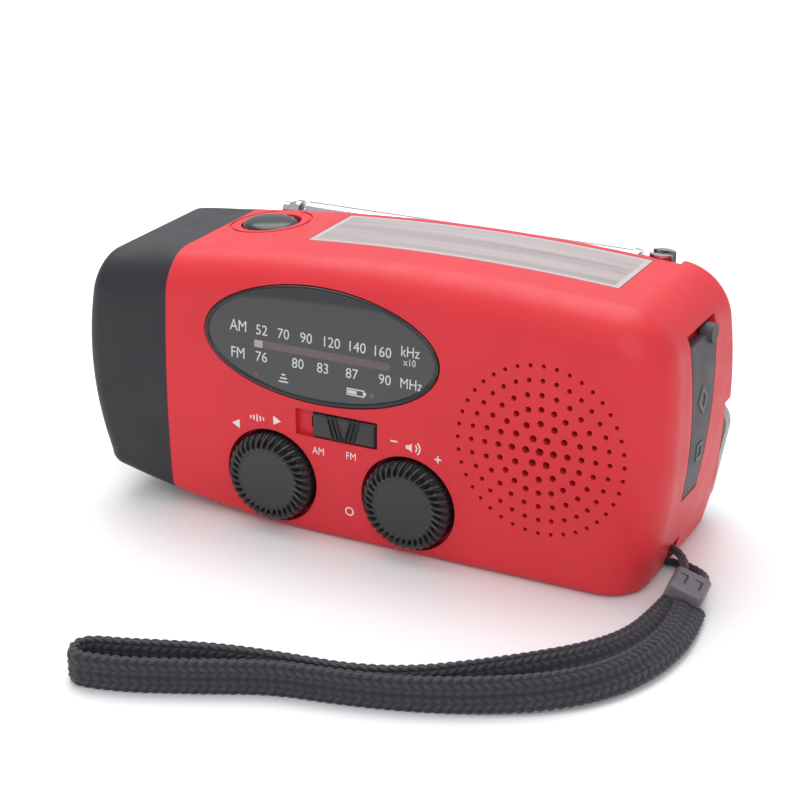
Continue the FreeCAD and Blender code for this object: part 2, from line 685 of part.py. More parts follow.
# ---------------------------------------------------------------- boards, cells and ferrite
board = box((-42, -13, 5), (20, -11.4, 50))
board_holes = [rod((across, -15, cells.knob_level), "y", 3.7, 5)
               for across in (cells.tuning_place, cells.volume_place)]
screw_gaps = [rod((x, -15, z), "y", 2.9, 5) for x, z in SCREWS[:2]]
cut(board, *board_holes, *screw_gaps, label="main_board")
battery = [post((-36.2, 7.4, z), (1, 0, 0), 5.1, 29.0).fuse(post((-7.2, 7.4, z), (1, 0, 0), 2.0, 0.9))
           for z in (9.9, 20.5, 31.1)]
made(Part.makeCompound(battery), "battery_cells")
rod((-22, 5.5, 45), "x", 4, 55, label="ferrite_rod")
coil = rod((-6, 5.5, 45), "x", 5.2, 16)
coil_bore = rod((-7, 5.5, 45), "x", 4.15, 18)
cut(coil, coil_bore, label="ferrite_coil")

# ---------------------------------------------------------------- crank, gears and generator
hub = (cells.crank_place, cells.crank_level)
gear_gap = 0.02                  # how much further apart the gears stand than their pitch circles
idler_x = cells.crank_place + cells.crank_wheel + cells.idler_pinion + gear_gap
motor_x = idler_x + cells.idler_wheel + cells.motor_pinion + gear_gap
half_step = 180 / 12             # half the step of a 12-tooth gear, so that its gap faces a tooth
gear(cells.crank_wheel, 60, 2, cells.shaft_round - 0.4, (hub[0], 10.4, hub[1]), "crank_gear")
gear(cells.idler_wheel, 60, 2, 0.8, (idler_x, 7.0, hub[1]), "idler_gear")
gear(cells.idler_pinion, 12, 3.4, 0.8, (idler_x, 9.2, hub[1]), "idler_pinion", half_step)
gear(cells.motor_pinion, 12, 2.4, 0.53, (motor_x, 6.8, hub[1]), "motor_pinion", half_step)
rod((idler_x, 4.0, hub[1]), "y", 0.72, 10.6, label="idler_axle")
turned([(0, 0), (2.05, 0), (2.05, 7.6), (cells.shaft_round, 7.6), (cells.shaft_round, 13.0), (1.9, 13.0),
        (1.9, 16.4), (0, 16.4)], (hub[0], 4.9, hub[1]), "y", "crank_shaft")
turned([(2.56, 0), (4.1, 0), (4.1, 2.6), (5.2, 2.6), (5.2, 3.0), (2.56, 3.0)],
       (hub[0], 14.88, hub[1]), "y", "crank_bush")
plate = box((-2, 4.6, 9.6), (54.5, 6.0, 38.2))
plate_holes = [rod((hub[0], 0, hub[1]), "y", 2.12, 10), rod((motor_x, 0, hub[1]), "y", 2.5, 10),
               rod((idler_x, 0, hub[1]), "y", 0.76, 10)]
cut(plate, *plate_holes, label="gearbox_plate")
turned([(0, 0), (11.4, 0), (11.4, 11.4), (2.3, 11.4), (2.3, 12.2), (0.55, 12.2), (0.55, 11.0), (0, 11.0)],
       (motor_x, -7.0, hub[1]), "y", "generator")
rod((motor_x, 4.1, hub[1]), "y", 0.47, 6.0, label="generator_shaft")

droop = math.radians(real["crank_droop"])
reach = real["crank_reach"]
along = Vector(math.cos(droop), 0, -math.sin(droop))
upward = Vector(math.sin(droop), 0, math.cos(droop))
hub_point = Vector(crank_at[0], real["arm_back"], crank_at[1])


def arm_outline():
    """The paddle-shaped crank arm: a round hub, a waist and a wide end."""
    def spot(run, rise):
        return hub_point + along * run + upward * rise
    hub_arc = arc(spot(0, -10), spot(-10, 0), spot(0, 10))
    top = [spot(0, 10), spot(22, 8.2), spot(36, 12), spot(reach + 8.3, 12.6)]
    bottom = [spot(reach + 8.3, -12.6), spot(36, -12), spot(22, -8.2), spot(0, -10)]
    edges = [hub_arc] + [Part.makeLine(top[i], top[i + 1]) for i in range(3)]
    edges += [Part.makeLine(top[3], bottom[0])] + [Part.makeLine(bottom[i], bottom[i + 1]) for i in range(3)]
    return closed(edges)


arm = prism(arm_outline(), Vector(0, real["arm_thick"], 0))
corners = [edge for edge in arm.Edges
           if all_along(edge, lambda p: (p - hub_point).dot(along) > reach + 8)
           and abs(edge.Vertexes[0].Point.y - edge.Vertexes[-1].Point.y) > 1]
arm = arm.makeFillet(5, corners)
rims = [edge for edge in arm.Edges if all_along(edge, lambda p: p.y > real["arm_back"] + real["arm_thick"] - 0.01)]
arm = arm.makeFillet(1.2, rims)
grip_point = hub_point + along * reach
arm = arm.cut([Part.makeCylinder(1.95, 3.5, hub_point + Vector(0, -0.1, 0), Vector(0, 1, 0)),
               Part.makeCylinder(1.3, 20, grip_point - Vector(0, 5, 0), Vector(0, 1, 0))])
made(arm, "crank_arm")
grip_at = (grip_point.x, cells.arm_back + cells.arm_thick + 0.3, grip_point.z)
grip_round = cells.grip_round
turned([(1.32, 0), (grip_round - 0.6, 0), (grip_round, 0.6), (grip_round, cells.grip_long - 1.2),
        (grip_round - 1.2, cells.grip_long), (2.9, cells.grip_long), (2.9, cells.grip_long - 1.4),
        (1.32, cells.grip_long - 1.4)], grip_at, "y", "crank_grip")
turned([(0, 0), (1.25, 0), (1.25, 9.3), (2.4, 9.3), (2.4, 10.1), (0, 10.1)],
       (grip_point.x, cells.arm_back + 0.1, grip_point.z), "y", "grip_pin")

# ---------------------------------------------------------------- aerial
swivel = (cells.aerial_pivot, cells.aerial_back)
turned([(0, 0), (2.3, 0), (2.3, 1.2), (1.74, 1.2), (1.74, 3.5), (2.7, 3.5), (2.7, 4.3), (0, 4.3)],
       (*swivel, 48.6), "z", "aerial_swivel")
fork_gap = 1.15
fork = Part.makeCylinder(2.7, 5.6, Vector(*aerial_at, 52.95))
fork = fork.common(block((aerial_at[0] - 2.4, -FAR, 0), (aerial_at[0] + 2.4, FAR, FAR)))
fork = fork.cut([block((0, aerial_at[1] - fork_gap, 54.0), (FAR, aerial_at[1] + fork_gap, FAR)),
                 post((aerial_at[0], 0, real["aerial_level"]), (0, 1, 0), 0.72, 40)])
made(fork, "aerial_fork")
rod((cells.aerial_pivot, cells.aerial_back - 2.5, cells.aerial_level), "y", 0.65, 5.0, label="aerial_pin")
tongue = rod((cells.aerial_pivot, cells.aerial_back - 1.0, cells.aerial_level), "y", 1.7, 2.0)
tongue_bar = box((cells.aerial_pivot - 4.6, cells.aerial_back - 1.0, cells.aerial_level - 1.2),
                 (cells.aerial_pivot, cells.aerial_back + 1.0, cells.aerial_level + 1.2))
tongue_plug = rod((cells.aerial_pivot - 4.4, cells.aerial_back, cells.aerial_level), "-x", 1.85, 1.8)
tongue_hole = rod((cells.aerial_pivot, cells.aerial_back - 3, cells.aerial_level), "y", 0.7, 6)
cut(fuse(tongue, tongue_bar, tongue_plug), tongue_hole, label="aerial_tongue")
tube_start = cells.aerial_pivot - 4.7
tube_wall = 0.42


def tube_profile(order, outside, long):
    """The (radius, height) outline of one aerial tube, from its inner end to its tip."""
    if order == 0:                # the largest tube has a collar at the hinge
        return [(outside - tube_wall, 0), (outside + 0.35, 0), (outside + 0.35, 1.2), (outside, 1.5),
                (outside, long), (outside - tube_wall, long)]
    if order == 3:                # the thinnest is a solid rod with the tip cap
        cap = outside + 1.5
        return [(0, 0), (outside, 0), (outside, long), (cap, long + 0.4), (cap, long + 1.4),
                (cap - 0.7, long + 3.4), (cap - 0.7, long + 4.6), (0, long + 5.2)]
    return [(outside - tube_wall, 0), (outside, 0), (outside, long), (outside - tube_wall, long)]


for order in range(4):
    start = tube_start - 2.0 * order - (1.2 if order == 3 else 0.0)
    turned(tube_profile(order, cells.tube_round - 0.5 * order, 76 - 2.0 * order),
           (start, cells.aerial_back, cells.aerial_level), "-x", f"aerial_tube_{order + 1}")

# ---------------------------------------------------------------- sockets and their cover
cover_shape = cover_prism(real["cover_low"], real["cover_high"], 0)
cover_plate = cover_shape.common(outer).cut(casing(1.6))
jack_cover = cover_plate.fuse(post((61.9, 0.9, 48.4), (1, 0, 0), 2.0, 2.6))
made(jack_cover, "socket_cover")
usb_case = box((54.2, -8.0, 22.0), (59.1, -4.8, 30.0))
usb_gap = box((56, -7.4, 22.8), (60, -5.4, 29.2))
cut(usb_case, usb_gap, label="usb_socket")
cut(fuse(box((54.2, -8.6, 37.2), (57.0, -2.6, 44.6)), rod((57.0, -5.5, 41), "x", 2.7, 4.2)),
    rod((55, -5.5, 41), "x", 1.7, 10), label="charge_socket")
box((52.6, -11.5, 16), (54.1, 3.5, 45), label="socket_board")

# ---------------------------------------------------------------- screws
def screw(x, z):
    seat = real["rear_face"] - 2.2
    head = post((x, seat, z), (0, 1, 0), 2.1, 1.5)
    shank = post((x, seat - 10, z), (0, 1, 0), 0.95, 10)
    cross = block((x - 1.2, seat + 0.9, z - 0.2), (x + 1.2, seat + 2, z + 0.2))
    return head.fuse(shank).cut([cross, block((x - 0.2, seat + 0.9, z - 1.2), (x + 0.2, seat + 2, z + 1.2))])


made(Part.makeCompound([screw(x, z) for x, z in SCREWS]), "case_screws")


# ---------------------------------------------------------------- wrist strap
def route(points):
    """Straight runs joined by tangent arcs that are as large as the runs allow."""
    points = [Vector(*point) for point in points]
    edges = []
    radii = []
    last = points[0]
    for before, here, after in zip(points, points[1:], points[2:]):
        into, out = (here - before), (after - here)
        run = min(into.Length, out.Length)
        turn = into.getAngle(out)
        into.normalize()
        out.normalize()
        reach_back = 0.45 * run
        radii.append(reach_back / math.tan(turn / 2))
        start, end = here - into * reach_back, here + out * reach_back
        bulge = (out - into).normalize()
        middle = here + bulge * (radii[-1] / math.cos(turn / 2) - radii[-1])
        if (start - last).Length > 1e-6:
            edges.append(Part.makeLine(last, start))
        edges.append(arc(start, middle, end))
        last = end
    edges.append(Part.makeLine(last, points[-1]))
    print("bend radii", [round(radius, 1) for radius in radii])
    return Part.Wire(edges)


def swept(path, section, area, label):
    solid = path.makePipeShell([section], True, True)
    print(f"{label}: length {path.Length:.1f}, volume over area times length "
          f"{solid.Volume / (area * path.Length):.3f}")
    return solid


rod((cells.bar_place, cells.bar_back - 5.6, cells.bar_level), "y", 0.95, 11.2, label="strap_bar")
# one loop of flat braid on edge: out of the clasp, round its far end and back into the clasp
STRAP = [(70.8, -24.6), (71.9, -31.5), (72.3, -39), (71.2, -48.4), (67.6, -58.4), (60.4, -67), (50.4, -73.4),
         (38.6, -78.6), (26.2, -82), (14, -84.2), (2.6, -89.8), (-8, -94.6), (-14.8, -96.6), (-18.9, -97.2),
         (-20.9, -95.3), (-20.9, -92.6), (-18.6, -90.9), (-14.6, -89.8), (-8, -87.2), (3, -83.2), (15, -81),
         (27, -79.4), (37.6, -75.4), (46.8, -68.6), (55, -61), (62, -53), (66.4, -44.4), (68, -35.2), (68.4, -25)]
strap_path = route([(x, y, real["strap_wide"] / 2) for x, y in STRAP])
strap_start = Vector(*STRAP[0], 0)
strap_way = Vector(*STRAP[1], 0) - strap_start
strap_side = Vector(-strap_way.y, strap_way.x, 0).normalize() * (real["strap_thick"] / 2)
strap_top = Vector(0, 0, real["strap_wide"])
strap_section = Part.makePolygon([strap_start - strap_side, strap_start + strap_side,
                                  strap_start + strap_side + strap_top, strap_start - strap_side + strap_top,
                                  strap_start - strap_side])
made(swept(strap_path, strap_section, real["strap_wide"] * real["strap_thick"], "strap_band"), "strap_band")

# the plastic clasp that the strap's two ends and the thread's two ends go into, leaning on the thread
clasp_at = Vector(69.4, -21.6, 4.2)
clasp = block((-4.6, -5.0, -2.4), (4.6, 4.4, 2.4))
clasp = clasp.makeFillet(1.2, clasp.Edges)
clasp.rotate(Vector(), Vector(0, 1, 0), 20)
clasp.rotate(Vector(), Vector(0, 0, 1), 6)
clasp.translate(clasp_at)
THREAD = [(66.8, -17.8, 4.4), (65.9, -13.4, 5.0), (63.4, -9.4, 5.4), (60.0, -7.5, 5.5), (56.2, -7.0, 5.4),
          (56.2, -6.0, 1.2), (60.0, -5.4, 1.1), (64.4, -6.2, 1.3), (68.2, -9.2, 1.8), (70.2, -13.4, 2.8),
          (70.6, -17.8, 3.8)]
thread_path = route(THREAD)
thread_way = Vector(*THREAD[1]) - Vector(*THREAD[0])
thread_section = Part.Wire(Part.makeCircle(real["thread_round"], Vector(*THREAD[0]), thread_way))
made(swept(thread_path, thread_section, math.pi * real["thread_round"] ** 2, "strap_thread"), "strap_thread")
made(clasp, "strap_clasp")

doc.recompute()
for item in doc.Objects:
    if "Invalid" in item.State or "Error" in item.State:
        raise RuntimeError(f"{item.Label}: {item.State}")
os.makedirs("parts", exist_ok=True)
for item in parts:
    shape = item.Shape
    if shape.isNull() or not shape.isValid():
        raise RuntimeError(f"{item.Label}: the shape is not valid")
    print(f"{item.Label:20s} solids {len(shape.Solids)} volume {shape.Volume:9.1f}")
    shape.exportStep(f"parts/{item.Label}.step")
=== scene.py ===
"""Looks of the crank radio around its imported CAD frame. Metres; +Z up, -Y is the front with the dial."""
import json
import math

import bmesh
import bpy
from mathutils import Matrix, Vector
from mathutils.bvhtree import BVHTree


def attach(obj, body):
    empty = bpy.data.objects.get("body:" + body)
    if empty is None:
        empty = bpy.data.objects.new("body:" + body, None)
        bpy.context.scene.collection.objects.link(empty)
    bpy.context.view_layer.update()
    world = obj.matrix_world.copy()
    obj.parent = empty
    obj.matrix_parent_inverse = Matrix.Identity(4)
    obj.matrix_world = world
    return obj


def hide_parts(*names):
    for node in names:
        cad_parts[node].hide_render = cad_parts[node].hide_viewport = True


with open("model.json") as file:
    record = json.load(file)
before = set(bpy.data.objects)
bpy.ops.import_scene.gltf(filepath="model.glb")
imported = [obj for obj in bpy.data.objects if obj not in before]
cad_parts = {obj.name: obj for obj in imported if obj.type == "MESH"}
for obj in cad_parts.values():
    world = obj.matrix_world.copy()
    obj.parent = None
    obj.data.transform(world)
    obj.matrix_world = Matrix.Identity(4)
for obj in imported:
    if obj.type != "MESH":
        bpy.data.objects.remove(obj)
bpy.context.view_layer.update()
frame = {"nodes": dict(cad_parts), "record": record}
scene = bpy.context.scene
scene.view_settings.view_transform = "Standard"
MM = 0.001


def mm(*values):
    return Vector([value * MM for value in values])


# ---------------------------------------------------------------- camera, floor and light
# the photograph's viewpoint
CAMERA_AT = mm(176.9, -357.05, 185.76)
FORWARD = Vector((-0.41683, 0.82656, -0.37821))
RIGHT = Vector((0.89288, 0.45028, 0.0))
LENS_LONG, SENSOR_WIDE = 92.17, 36.0                # mm
SKY_COLOUR, SKY_STRENGTH = (0.93, 0.95, 1.0), 0.72
LIGHTS = (                                          # name, place, target and side in metres, and watts
    ("key_light", (-0.25, 0.35, 0.95), (0.0, 0.0, 0.0), 0.9, 9.5),
    ("front_light", (0.35, -0.9, 0.75), (0.0, 0.0, 0.02), 0.8, 4.2),
)
FLOOR_SIDE = 6                                      # metres


def add_camera():
    data = bpy.data.cameras.new("camera")
    data.lens = LENS_LONG
    data.sensor_width = SENSOR_WIDE
    camera = bpy.data.objects.new("camera", data)
    up = RIGHT.cross(FORWARD).normalized()
    turn = Matrix((RIGHT.normalized(), up, -FORWARD.normalized())).transposed()
    camera.matrix_world = Matrix.Translation(CAMERA_AT) @ turn.to_4x4()
    scene.collection.objects.link(camera)
    scene.camera = camera


def add_area(name, at, target, size, power):
    data = bpy.data.lights.new(name, "AREA")
    data.shape = "SQUARE"
    data.size = size
    data.energy = power
    light = bpy.data.objects.new(name, data)
    light.location = at
    light.rotation_euler = (Vector(target) - Vector(at)).to_track_quat("-Z", "Y").to_euler()
    scene.collection.objects.link(light)


def add_stage():
    world = bpy.data.worlds.new("studio")
    world.use_nodes = True
    background = world.node_tree.nodes["Background"]
    background.inputs["Color"].default_value = (*SKY_COLOUR, 1)
    background.inputs["Strength"].default_value = SKY_STRENGTH
    scene.world = world
    for light in LIGHTS:
        add_area(*light)
    bpy.ops.mesh.primitive_plane_add(size=FLOOR_SIDE, location=(0, 0, 0))
    floor = bpy.context.object
    floor.name = "floor"
    floor.data.materials.append(plain("floor_white", (0.90, 0.90, 0.895), 0.45))


# ---------------------------------------------------------------- materials
NOISE_LOW, NOISE_HIGH = 0.32, 0.68      # most of a noise texture's values lie between these
SOLAR_MIDDLE, SOLAR_REACH = (14.2, 0.35), (32.6, 8.4)       # the solar cell's middle and half its size, in mm


def plain(name, colour, rough, metal=0.0, coat=0.0, sheen=0.0, ior=1.5, transmission=0.0):
    """A material with uniform values on the shader's own sockets; the functions below add its detail."""
    material = bpy.data.materials.new(name)
    material.use_nodes = True
    shader = shader_of(material)
    shader.inputs["Base Color"].default_value = (*colour, 1)
    shader.inputs["Roughness"].default_value = rough
    shader.inputs["Metallic"].default_value = metal
    shader.inputs["Coat Weight"].default_value = coat
    shader.inputs["Coat Roughness"].default_value = 0.08
    shader.inputs["Sheen Weight"].default_value = sheen
    shader.inputs["IOR"].default_value = ior
    shader.inputs["Transmission Weight"].default_value = transmission
    material.diffuse_color = (*colour, 1)
    return material


def shader_of(material):
    return material.node_tree.nodes["Principled BSDF"]


def join(material, source, target):
    material.node_tree.links.new(source, target)


def add_node(material, kind, **settings):
    """A new node, with settings that are its properties or else the values of its inputs."""
    node = material.node_tree.nodes.new(kind)
    for key, value in settings.items():
        if hasattr(node, key):
            setattr(node, key, value)
        else:
            node.inputs[key].default_value = value
    return node


def place_of(material, stretch=(1, 1, 1)):
    """Object coordinates, in metres in the part's frame, stretched along the axes."""
    where = add_node(material, "ShaderNodeTexCoord")
    scale = add_node(material, "ShaderNodeMapping", vector_type="POINT")
    scale.inputs["Scale"].default_value = stretch
    join(material, where.outputs["Object"], scale.inputs["Vector"])
    return scale.outputs["Vector"]


def noise(material, scale, detail=3.0, stretch=(1, 1, 1)):
    node = add_node(material, "ShaderNodeTexNoise", Scale=scale, Detail=detail)
    join(material, place_of(material, stretch), node.inputs["Vector"])
    return node.outputs["Fac"]


def spread(material, value, low, high):
    """Maps the middle of a noise's range to low..high."""
    node = add_node(material, "ShaderNodeMapRange", clamp=True)
    node.inputs["From Min"].default_value = NOISE_LOW
    node.inputs["From Max"].default_value = NOISE_HIGH
    node.inputs["To Min"].default_value = low
    node.inputs["To Max"].default_value = high
    join(material, value, node.inputs["Value"])
    return node.outputs["Result"]


def mix_colours(material, share):
    """A mix by a share from 0 to 1: its two colour inputs and its colour output."""
    mix = add_node(material, "ShaderNodeMix", data_type="RGBA")
    join(material, share, mix.inputs["Factor"])
    colours = [socket for socket in mix.inputs if socket.type == "RGBA"]
    result = next(socket for socket in mix.outputs if socket.type == "RGBA")
    return colours[0], colours[1], result


def tint(material, value, first, second):
    """A colour between two, by a value from 0 to 1, into the base colour."""
    low, high, result = mix_colours(material, value)
    low.default_value = (*first, 1)
    high.default_value = (*second, 1)
    join(material, result, shader_of(material).inputs["Base Color"])
    return result


def rough_by(material, value, low, high):
    join(material, spread(material, value, low, high), shader_of(material).inputs["Roughness"])


def bump(material, value, height):
    """Relief of the given height in metres, into the shader's normal."""
    node = add_node(material, "ShaderNodeBump", Strength=1.0, Distance=height)
    join(material, value, node.inputs["Height"])
    join(material, node.outputs["Normal"], shader_of(material).inputs["Normal"])


def moulded(name, colour, rough, grain=3500, depth=0.00003, vary=0.06, **kinds):
    """Moulded plastic or rubber: faint colour drift, uneven gloss and a fine-grained surface."""
    material = plain(name, colour, rough, **kinds)
    darker = [channel * (1 - vary) for channel in colour]
    lighter = [min(1.0, channel * (1 + vary)) for channel in colour]
    tint(material, spread(material, noise(material, 45), 0, 1), darker, lighter)
    rough_by(material, noise(material, 160), rough * 0.9, min(1.0, rough * 1.12))
    bump(material, noise(material, grain, 2.0), depth)
    return material


def turned_metal(name, colour, rough, metal=1.0):
    """Metal with fine drawn lines and faint handling marks."""
    material = plain(name, colour, rough, metal=metal)
    rough_by(material, noise(material, 90), rough * 0.7, rough * 1.5)
    bump(material, noise(material, 2500, 2.0, stretch=(0.04, 1, 1)), 0.000004)
    return material


def inside_cell(material):
    """1 over the solar cell and 0 over the clear rim around it."""
    parts = add_node(material, "ShaderNodeSeparateXYZ")
    join(material, place_of(material), parts.inputs["Vector"])
    both = add_node(material, "ShaderNodeMath", operation="MULTIPLY")
    for index, axis in enumerate("XY"):
        near = add_node(material, "ShaderNodeMath", operation="COMPARE")
        join(material, parts.outputs[axis], near.inputs[0])
        near.inputs[1].default_value = SOLAR_MIDDLE[index] * MM
        near.inputs[2].default_value = SOLAR_REACH[index] * MM
        join(material, near.outputs[0], both.inputs[index])
    return both.outputs[0]


def solar_material():
    """A clear rim around a grey film with streaks along its length."""
    material = plain("solar_film", (0.5, 0.45, 0.45), 0.22, coat=0.6)
    streak = spread(material, noise(material, 260, 4.0, stretch=(0.035, 1, 1)), 0, 1)
    cell = tint(material, streak, (0.27, 0.215, 0.205), (0.44, 0.36, 0.355))
    rim, film, result = mix_colours(material, inside_cell(material))
    rim.default_value = (0.50, 0.42, 0.43, 1)
    join(material, cell, film)
    join(material, result, shader_of(material).inputs["Base Color"])
    rough_by(material, noise(material, 400, 3.0, stretch=(0.1, 1, 1)), 0.2, 0.34)
    bump(material, noise(material, 700, 2.0, stretch=(0.05, 1, 1)), 0.00001)
    return material


def braid_material():
    """Black yarn with a faint violet cast and uneven tone, and painted shade that makes it darker down
    between the strands.
    """
    material = plain("braid_black", (0.018, 0.015, 0.022), 0.62, sheen=0.15)
    height = add_node(material, "ShaderNodeAttribute", attribute_name="relief")
    yarn = add_node(material, "ShaderNodeMath", operation="MULTIPLY")
    join(material, height.outputs["Fac"], yarn.inputs[0])
    join(material, spread(material, noise(material, 1400, 3.0), 0.6, 1.0), yarn.inputs[1])
    # painted shade: the relief times the yarn's uneven tone, near black where the surface sinks between
    # strands
    tint(material, yarn.outputs[0], (0.0008, 0.0006, 0.0012), (0.040, 0.033, 0.049))
    bump(material, noise(material, 5200, 3.0), 0.0001)
    return material


def thread_material():
    """Dull black twisted yarn."""
    material = plain("thread_black", (0.016, 0.014, 0.019), 0.8, sheen=0.2)
    yarn = spread(material, noise(material, 1600, 2.0), 0, 1)
    tint(material, yarn, (0.008, 0.007, 0.010), (0.030, 0.026, 0.036))
    bump(material, noise(material, 6000, 2.0), 0.00006)
    return material


def clear(name, rough):
    """Clear moulded plastic with faint waviness."""
    material = plain(name, (0.96, 0.97, 0.98), rough, ior=1.49, transmission=0.92)
    tint(material, spread(material, noise(material, 60), 0, 1), (0.93, 0.95, 0.97), (1.0, 1.0, 1.0))
    bump(material, noise(material, 300, 2.0), 0.00001)
    return material


def plain_print(name, colour):
    """Printed ink with a slightly worn edge."""
    material = plain(name, colour, 0.5)
    worn = spread(material, noise(material, 1500, 3.0), 0, 1)
    tint(material, worn, [channel * 0.86 for channel in colour], colour)
    bump(material, noise(material, 4000, 2.0), 0.000004)
    return material


# ---------------------------------------------------------------- mesh helpers
def around(steps):
    """Equally spaced angles once round, in radians."""
    return [2 * math.pi * step / steps for step in range(steps)]


def flat(rows):
    return [point for row in rows for point in row]


def piece_from(name, points, faces, material, body):
    mesh = bpy.data.meshes.new(name)
    mesh.from_pydata([tuple(point) for point in points], [], faces)
    mesh.update()
    return finish_piece(name, mesh, material, body)


def shell_piece(name, shell, material, body, smooth=True):
    """A piece from a bmesh, which is freed."""
    mesh = bpy.data.meshes.new(name)
    shell.to_mesh(mesh)
    shell.free()
    return finish_piece(name, mesh, material, body, smooth)


def finish_piece(name, mesh, material, body, smooth=True):
    shell = bmesh.new()
    shell.from_mesh(mesh)
    bmesh.ops.remove_doubles(shell, verts=shell.verts, dist=1e-7)
    bmesh.ops.recalc_face_normals(shell, faces=shell.faces)
    shell.to_mesh(mesh)
    shell.free()
    mesh.materials.append(material)
    mesh.polygons.foreach_set("use_smooth", [smooth] * len(mesh.polygons))
    piece = bpy.data.objects.new(name, mesh)
    scene.collection.objects.link(piece)
    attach(piece, body)
    return piece


def stitched(rows, close_across=True):
    """Faces between rows of equally many points, numbered row by row."""
    count = len(rows[0])
    faces = []
    for row in range(len(rows) - 1):
        for column in range(count if close_across else count - 1):
            beside = (column + 1) % count
            first, second = row * count, (row + 1) * count
            faces.append((first + column, first + beside, second + beside, second + column))
    return faces


def capped(rows):
    """A closed body from rings of points, its two ends filled with a fan around a middle point."""
    faces = stitched(rows)
    points = flat(rows)
    count = len(rows[0])
    for start, flip in ((0, False), ((len(rows) - 1) * count, True)):
        ring = points[start:start + count]
        middle = sum(ring, Vector()) / count
        points.append(middle)
        hub = len(points) - 1
        for column in range(count):
            beside = (column + 1) % count
            face = (hub, start + beside, start + column)
            faces.append(face[::-1] if flip else face)
    return points, faces


def add_prism(shell, low, top):
    """A closed solid between two outlines that have equally many corners."""
    low = [shell.verts.new(point) for point in low]
    top = [shell.verts.new(point) for point in top]
    shell.faces.new(top)
    shell.faces.new(low[::-1])
    for index in range(len(low)):
        beside = (index + 1) % len(low)
        shell.faces.new((low[index], low[beside], top[beside], top[index]))


def mesh_of(curve):
    """The mesh that Blender makes of a curve or text."""
    holder = bpy.data.objects.new(curve.name, curve)
    scene.collection.objects.link(holder)
    mesh = bpy.data.meshes.new_from_object(holder.evaluated_get(bpy.context.evaluated_depsgraph_get()))
    bpy.data.objects.remove(holder)
    return mesh


def surface_of(*nodes):
    """The CAD surfaces of some nodes, to be hit by rays."""
    shell = bmesh.new()
    for node in nodes:
        shell.from_mesh(frame["nodes"][node].data)
    return BVHTree.FromBMesh(shell)


def front_depth(tree, x, z):
    """Y of a surface straight behind a point of the front view, in metres."""
    return tree.ray_cast(Vector((x, -0.06, z)), Vector((0, 1, 0)))[0].y


# ---------------------------------------------------------------- prints
RING_STEP = 12      # degrees


class Print:
    """Marks gathered into one thin solid mesh that follows a curved front surface.
    thick is half the mesh's thickness, and lift sets its middle in front of the surface; both in metres."""

    def __init__(self, tree, thick=0.00004, lift=0.0):
        self.tree = tree
        self.thick = thick
        self.lift = lift
        self.shell = bmesh.new()

    def add_mesh(self, mesh, at):
        """Adds a flat mesh drawn in X and Y around its own origin, at (x, z) in mm."""
        drawn = bmesh.new()
        drawn.from_mesh(mesh)
        bmesh.ops.triangulate(drawn, faces=drawn.faces)
        twins = {}
        for vertex in drawn.verts:
            x, z = at[0] * MM + vertex.co.x, at[1] * MM + vertex.co.y
            y = front_depth(self.tree, x, z) - self.lift
            over = self.shell.verts.new((x, y - self.thick, z))
            under = self.shell.verts.new((x, y + self.thick, z))
            twins[vertex] = (over, under)
        for face in drawn.faces:
            corners = [twins[vertex] for vertex in face.verts]
            self.shell.faces.new([over for over, _ in corners])
            self.shell.faces.new([under for _, under in corners][::-1])
        for edge in drawn.edges:
            if len(edge.link_faces) == 1:
                (over_a, under_a), (over_b, under_b) = [twins[vertex] for vertex in edge.verts]
                self.shell.faces.new((over_a, under_a, under_b, over_b))
        drawn.free()

    def text(self, words, at, size, wide=1.0):
        """Letters or digits of a size in mm, made narrower or wider by a factor."""
        curve = bpy.data.curves.new("words", "FONT")
        curve.body = words
        curve.size = size * MM
        curve.align_x = "CENTER"
        curve.align_y = "CENTER"
        curve.resolution_u = 3
        mesh = mesh_of(curve)
        for vertex in mesh.vertices:
            vertex.co.x *= wide
            vertex.co.z = 0
        self.add_mesh(mesh, at)

    def outline(self, points, at):
        """A filled outline given by its corners in mm."""
        mesh = bpy.data.meshes.new("outline")
        mesh.from_pydata([(x * MM, y * MM, 0) for x, y in points], [], [tuple(range(len(points)))])
        self.add_mesh(mesh, at)

    def ring(self, radius, wide, at, first=0.0, last=360.0):
        """A band around a circle, or part of one, as short quads."""
        steps = max(3, round((last - first) / RING_STEP))
        angles = [math.radians(first + (last - first) * step / steps) for step in range(steps + 1)]
        inner, outer = radius - wide / 2, radius + wide / 2
        for start, end in zip(angles, angles[1:]):
            self.outline([(inner * math.cos(start), inner * math.sin(start)),
                          (outer * math.cos(start), outer * math.sin(start)),
                          (outer * math.cos(end), outer * math.sin(end)),
                          (inner * math.cos(end), inner * math.sin(end))], at)

    def bar(self, wide, high, at):
        x, y = wide / 2, high / 2
        self.outline([(-x, -y), (x, -y), (x, y), (-x, y)], at)

    def finish(self, name, material, body="casing"):
        return shell_piece(name, self.shell, material, body, smooth=False)


# ---------------------------------------------------------------- cords
STRAP_WIDE, STRAP_THICK = 6.6, 2.2      # mm, as the other lengths here
FLOOR_GAP = 0.05
END_LEAN, LEANING_SHARE = 62, 0.30      # degrees over at the clasp, and the share of the strap that leans
BRAID_ROWS = 12
BRAID_PITCH, PLAIT_SLANT = 1.75, 0.75
STRAND_HIGH, STRAND_SUNK = 0.42, 0.24
